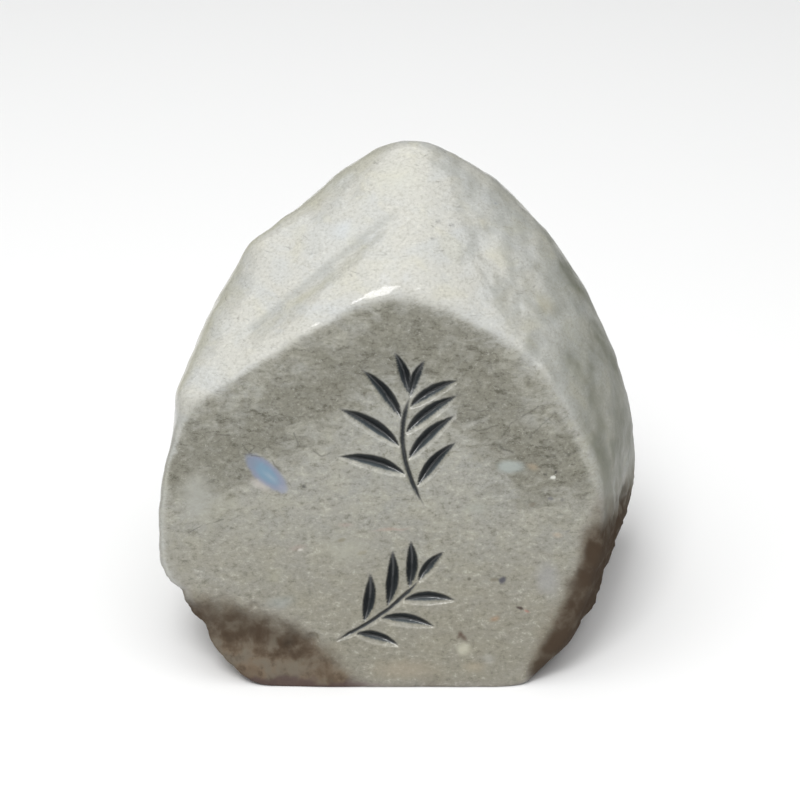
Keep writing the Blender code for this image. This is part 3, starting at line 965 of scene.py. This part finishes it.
def shaded_bands(finish, colour):
    """Painted shade in green-grey on the right side and in grey on the left side and in the crease, and the
    yellowish crest above the left side.
    """
    height = finish.attribute("height")
    # Painted shade on the right side
    sideways = finish.wavered(finish.facing(RIGHT_SHADE_FACING), finish.pattern("side clouds"), SHADE_BORDER_WAVER)
    outer = finish.fade(sideways, "right side")
    inner = finish.fade(sideways, "middle of the right side")
    right = finish.within(finish.fade(height, "top of the right side"), finish.math("ADD", outer, inner))
    colour = finish.mix(right, colour, PAINTED_SIDE_SHADE)
    colour = finish.mix(finish.fade(finish.facing(LEFT_CREST), "left crest"), colour, CREST_YELLOW)
    # Painted shade on the left side, in the front's grey
    left = finish.fade(finish.facing(LEFT_SHADE_FACING), "left side")
    left = finish.within(finish.fade(height, "top of the left side"), left)
    colour = finish.mix(left, colour, FRONT_AND_SHADE_GREY)
    # Painted shade in the crease
    return finish.mix(finish.fade(finish.attribute("valley_shade"), "valley_shade"), colour, VALLEY_SHADE_GREY)


def grained(finish, colour):
    """Fine dark and pale grains."""
    grains = finish.pattern("grains")
    colour = finish.mix(finish.fade(grains, "dark grains"), colour, DARK_GRAIN)
    return finish.mix(finish.fade(grains, "pale grains"), colour, GRAIN_LIGHTENING, "MULTIPLY")


def streaked(finish, colour):
    """Short dark dashes and thin wavy streaks that run almost level."""
    dashes = finish.fade(finish.pattern("dashes"), "dashes")
    areas = finish.fade(finish.pattern("dashed areas"), "dashed areas")
    return finish.mix(finish.within(areas, dashes), colour, STREAK)


def front_colour(finish, colour):
    """The plainer grey of the front, mottled in fine level flecks and browner towards its foot."""
    front = finish.between(finish.attribute("front"), 0, 1)
    colour = finish.mix(finish.within(front, FRONT_SHARE), colour, FRONT_AND_SHADE_GREY)
    clouds = finish.fade(finish.pattern("front clouds"), "front clouds")
    colour = finish.mix(finish.within(front, clouds), colour, FRONT_CLOUD)
    low = finish.fade(finish.attribute("height"), "buff foot")
    colour = finish.mix(finish.within(front, low), colour, LOW_BUFF)
    flecks = finish.pattern("flecks")
    colour = finish.mix(finish.within(front, finish.fade(flecks, "dark flecks")), colour, MOTTLE_SHADE)
    return finish.mix(finish.within(front, finish.fade(flecks, "pale flecks")), colour, MOTTLE_LIGHT)


def crumbled_colour(finish, colour):
    """A granular band under the rim, coloured darker."""
    areas = finish.wavered(finish.attribute("crumbled"), finish.pattern("crumbled areas"), CRUMBLED_WAVER)
    band = finish.fade(areas, "crumbled band")
    colour = finish.mix(finish.within(band, CRUMB_SHARE), colour, CRUMB_BODY)
    crumbs = finish.pattern("crumbs")
    colour = finish.mix(finish.within(band, finish.fade(crumbs, "dark crumbs")), colour, CRUMB_SHADE)
    ledges = finish.fade(finish.pattern("ledges"), "dark ledges")
    colour = finish.mix(finish.within(band, ledges), colour, CRUMB_SHADE)
    return finish.mix(finish.within(band, finish.fade(crumbs, "pale crumbs")), colour, PALE_GRAIN)


def marked(finish, colour):
    """The spots, inclusions and cracks that belong to this stone."""
    colour = finish.mix(finish.attribute("stains", "Alpha"), colour, BLACK)
    return finish.mix(1.0, colour, finish.attribute("stains", "Color"), "ADD")


def brown_colour(finish):
    """The rough brown skin: dark under its upper edge and on the flank, partly its own colour and partly
    painted shade, tan and rusty below, and chipped along its foot."""
    areas = finish.pattern("brown areas")
    specks = finish.pattern("brown specks")
    tan = finish.mix(finish.fade(areas, "orange areas"), BROWN_LIGHT, BROWN_ORANGE)
    tan = finish.mix(finish.fade(specks, "dark specks"), tan, BROWN_SPECK_AND_SHADE)
    tan = finish.mix(finish.fade(specks, "pale specks"), tan, CRUMB_BODY)
    # Painted shade, with the crust's own darker brown, under the corner's upper edge and on the flank
    skin_shade_share = finish.wavered(finish.attribute("skin_shade"), areas, SKIN_SHADE_WAVER)
    brown = finish.mix(finish.fade(skin_shade_share, "skin shade"), tan, BROWN_SPECK_AND_SHADE)
    height = finish.wavered(finish.attribute("height"), finish.pattern("brown edges"), FOOT_WAVER)
    return finish.mix(finish.fade(height, "chipped foot"), brown, CHIPPED_EDGE)


def inked(finish, colour):
    """Ink in the cuts, worn thin on their lower walls, whose paler grey is partly a painted sheen of the
    light from above.
    """
    ink = finish.mix(finish.attribute("lower_wall"), INK, INK_WORN_AND_SHEEN)
    return finish.mix(finish.attribute("ink"), colour, ink)


def varnish(finish, brown):
    """A glossy coat that is thin on the right flank and all but gone on the brown skin."""
    cover = finish.fade(finish.facing(RIGHT_FLANK), "varnish on the right flank")
    finish.put(finish.shader, "Roughness", finish.between(brown, 0, 1, *ROUGHNESS))
    shine = finish.within(cover, finish.between(brown, 0, 1, *SHINE))
    finish.put(finish.shader, "Specular IOR Level", shine)
    coat = finish.within(cover, finish.between(brown, 0, 1, *VARNISH))
    finish.put(finish.shader, "Coat Weight", coat)
    finish.put(finish.shader, "Coat Roughness", VARNISH_ROUGHNESS)
    finish.put(finish.shader, "Normal", finish.bump(finish.pattern("fine grain"), *FINE_GRAIN))
    finish.put(finish.shader, "Coat Normal", finish.bump(finish.pattern("varnish waves"), *VARNISH_WAVES))


def stone_material():
    """Varnished stone: pale mottled layers, crumbled and brown-skinned places, marks and inked cuts."""
    finish = Finish("varnished_stone")
    colour = shaded_bands(finish, bedded_colour(finish))
    colour = streaked(finish, grained(finish, colour))
    colour = crumbled_colour(finish, front_colour(finish, colour))
    colour = marked(finish, colour)
    edges = finish.pattern("brown edges")
    brown = finish.between(finish.wavered(finish.attribute("brown_skin"), edges, BROWN_WAVER), 0, 1)
    colour = finish.mix(brown, colour, brown_colour(finish))
    finish.put(finish.shader, "Base Color", inked(finish, colour))
    varnish(finish, brown)
    return finish.material


def floor():
    """A plain pale floor, wide enough to fill every view."""
    bpy.ops.mesh.primitive_plane_add(size=FLOOR_SIDE)
    ground = bpy.context.object
    ground.name = "floor"
    finish = Finish("floor")
    finish.put(finish.shader, "Base Color", FLOOR_COLOUR)
    finish.put(finish.shader, "Roughness", FLOOR_ROUGHNESS)
    finish.put(finish.shader, "Specular IOR Level", FLOOR_SHINE)
    ground.data.materials.append(finish.material)


def softbox(name, azimuth, elevation, distance, size, power, colour):
    """An oblong lamp that shines on the stone from the given direction."""
    lamp = bpy.data.lights.new(name, "AREA")
    lamp.shape = "RECTANGLE"
    lamp.size, lamp.size_y = size
    lamp.energy = power
    lamp.color = colour
    item = bpy.data.objects.new(name, lamp)
    away = Vector(facing(azimuth, elevation))
    item.location = CAMERA_TARGET + away * distance
    item.rotation_euler = away.to_track_quat("Z", "Y").to_euler()
    bpy.context.scene.collection.objects.link(item)


def studio_light():
    """A large box overhead, a small lamp in front that glints on the rim, and a pale surround."""
    for name, lamp in LAMPS.items():
        softbox(name, *lamp)
    world = bpy.data.worlds.new("surround")
    world.use_nodes = True
    background = world.node_tree.nodes["Background"]
    background.inputs["Color"].default_value = SURROUND_COLOUR
    background.inputs["Strength"].default_value = SURROUND_STRENGTH
    bpy.context.scene.world = world
    bpy.context.scene.view_settings.view_transform = "Standard"


def camera():
    lens = bpy.data.cameras.new("camera")
    lens.lens = CAMERA_LENS
    item = bpy.data.objects.new("camera", lens)
    away = Vector(facing(0, CAMERA_ELEVATION))
    item.location = CAMERA_TARGET + away * CAMERA_DISTANCE
    item.rotation_euler = away.to_track_quat("Z", "Y").to_euler()
    bpy.context.scene.collection.objects.link(item)
    bpy.context.scene.camera = item


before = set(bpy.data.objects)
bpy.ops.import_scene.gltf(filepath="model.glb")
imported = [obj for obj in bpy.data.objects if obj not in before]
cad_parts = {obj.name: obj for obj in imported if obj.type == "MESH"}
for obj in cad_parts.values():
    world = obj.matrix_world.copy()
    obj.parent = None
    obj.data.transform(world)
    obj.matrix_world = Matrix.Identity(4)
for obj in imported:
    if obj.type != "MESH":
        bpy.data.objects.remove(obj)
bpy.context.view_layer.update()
camera()
floor()
studio_light()
stone_piece()
